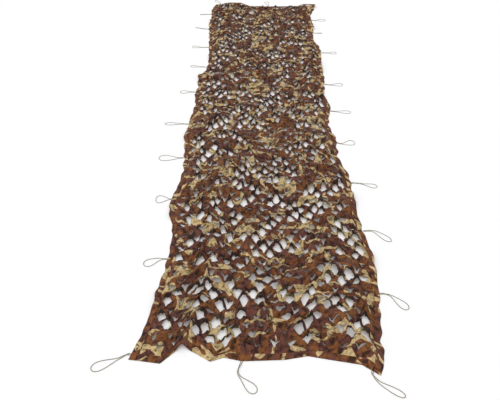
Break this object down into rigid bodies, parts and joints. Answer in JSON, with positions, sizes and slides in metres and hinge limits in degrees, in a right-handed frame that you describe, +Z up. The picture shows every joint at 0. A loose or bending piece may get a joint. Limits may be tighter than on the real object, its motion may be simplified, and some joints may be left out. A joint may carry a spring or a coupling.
{
  "type": "camouflage netting",
  "caption": "Long incised camouflage net laid out on the ground, with a turned hem and looped cord ties along its edges.",
  "frame": {"origin": "bottom centre of the netting's box, on the ground", "axes": "+Y from the near end to the far end, +X to the right, +Z up"},
  "size_m": [1.9561, 6.3606, 0.0504],
  "materials": {
    "camouflage_cloth": "woven polyester with a brown, rust and tan disruptive print",
    "tie_cord": "thin braided cord, pale olive grey"
  },
  "bodies": {
    "root": {"netting": "camouflage_cloth", "tie_left_1": "tie_cord", "tie_left_2": "tie_cord", "tie_left_3": "tie_cord", "tie_left_4": "tie_cord", "tie_left_5": "tie_cord", "tie_left_6": "tie_cord", "tie_left_7": "tie_cord", "tie_left_8": "tie_cord", "tie_left_9": "tie_cord", "tie_near_left": "tie_cord", "tie_right_1": "tie_cord", "tie_right_2": "tie_cord", "tie_right_3": "tie_cord", "tie_right_4": "tie_cord", "tie_right_5": "tie_cord", "tie_right_6": "tie_cord", "tie_right_7": "tie_cord", "tie_right_8": "tie_cord", "tie_right_9": "tie_cord", "tie_near_right": "tie_cord", "tie_near_middle": "tie_cord", "tie_far_middle": "tie_cord", "tie_far_left": "tie_cord"}
  },
  "joints": []
}
